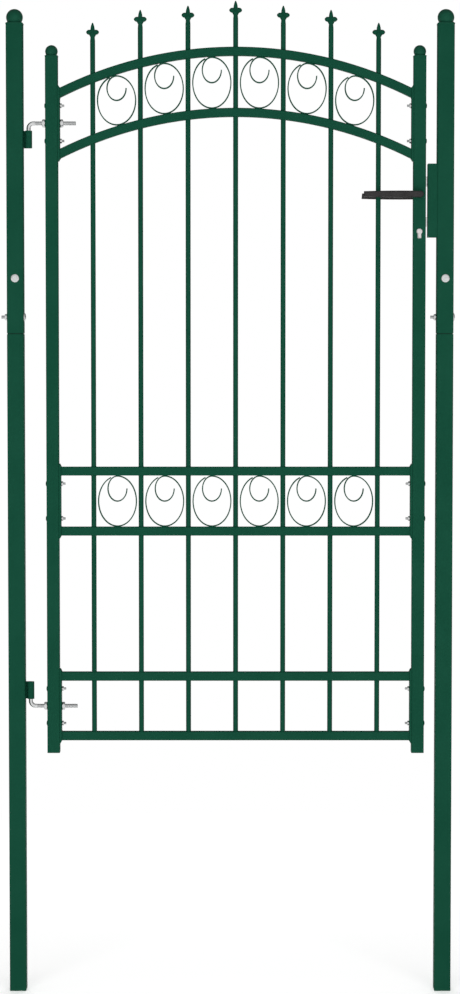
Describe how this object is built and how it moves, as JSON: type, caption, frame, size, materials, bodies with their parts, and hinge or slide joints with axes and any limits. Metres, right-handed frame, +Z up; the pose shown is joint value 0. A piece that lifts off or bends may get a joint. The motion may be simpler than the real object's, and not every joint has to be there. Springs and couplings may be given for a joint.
{
  "type": "garden gate",
  "caption": "Single-leaf arched garden gate of coated steel tube with spear-topped pickets, scroll rows and a lever lock, swinging on bent-rod hinges between square posts.",
  "frame": {"origin": "centre of the hinge post's foot, on its lower face", "axes": "+X from the hinge post to the lock post, +Y away from the pictured face, +Z up"},
  "size_m": [1.0724, 0.109, 2.3889],
  "materials": {
    "green_coat": "satin green powder coat",
    "green_cap": "satin green moulded cap",
    "zinc_plate": "bright zinc plate",
    "dark_lever": "dark grey satin",
    "black_sleeve": "black moulded sleeve",
    "nickel_plate": "nickel plate"
  },
  "bodies": {
    "posts": {"hinge_post_lower_tube": "green_coat", "hinge_post_upper_tube": "green_coat", "hinge_post_sleeve": "black_sleeve", "hinge_post_foot_cap": "green_cap", "hinge_post_ball_cap": "green_cap", "lock_post_lower_tube": "green_coat", "lock_post_upper_tube": "green_coat", "lock_post_sleeve": "black_sleeve", "lock_post_foot_cap": "green_cap", "lock_post_ball_cap": "green_cap", "upper_hinge_socket": "green_coat", "lower_hinge_socket": "green_coat", "lock_keeper": "green_coat"},
    "leaf": {"hinge_stile": "green_coat", "lock_stile": "green_coat", "lower_base_rail": "green_coat", "upper_base_rail": "green_coat", "lower_middle_rail": "green_coat", "upper_middle_rail": "green_coat", "lower_arch_rail": "green_coat", "upper_arch_rail": "green_coat", "hinge_side_plates": "green_coat", "lock_side_plates": "green_coat", "arch_scrolls": "green_coat", "middle_scrolls": "green_coat", "picket_1": "green_coat", "picket_2": "green_coat", "picket_3": "green_coat", "picket_4": "green_coat", "picket_5": "green_coat", "picket_6": "green_coat", "picket_7": "green_coat", "hinge_stile_ball_cap": "green_cap", "lock_stile_ball_cap": "green_cap", "upper_hinge_rod": "zinc_plate", "lower_hinge_rod": "zinc_plate", "hinge_nuts": "zinc_plate", "lock_case": "zinc_plate", "lock_cylinder": "nickel_plate"},
    "lever": {"front_lever": "dark_lever", "back_lever": "dark_lever", "lever_spindle": "zinc_plate"},
    "latch": {"latch_bolt": "zinc_plate"},
    "deadbolt": {"dead_bolt": "zinc_plate"}
  },
  "joints": [
    {"name": "leaf_swing", "type": "hinge", "parent": "posts", "child": "leaf", "pos_m": [0.0325, 0, 0.695], "axis": [0, 0, 1], "range_deg": [0, 90]},
    {"name": "lever_turn", "type": "hinge", "parent": "leaf", "child": "lever", "pos_m": [0.969, 0, 1.927], "axis": [0, -1, 0], "range_deg": [0, 45], "stiffness_Nm_per_rad": 1.5, "springref_deg": -22.92},
    {"name": "latch_slide", "type": "slide", "parent": "leaf", "child": "latch", "axis": [-1, 0, 0], "range_m": [0, 0.0032]},
    {"name": "dead_bolt_slide", "type": "slide", "parent": "leaf", "child": "deadbolt", "axis": [1, 0, 0], "range_m": [0, 0.014]}
  ],
  "couplings": [
    {"joint": "latch_slide", "follows": "lever_turn", "m_per_rad": 0.004}
  ]
}
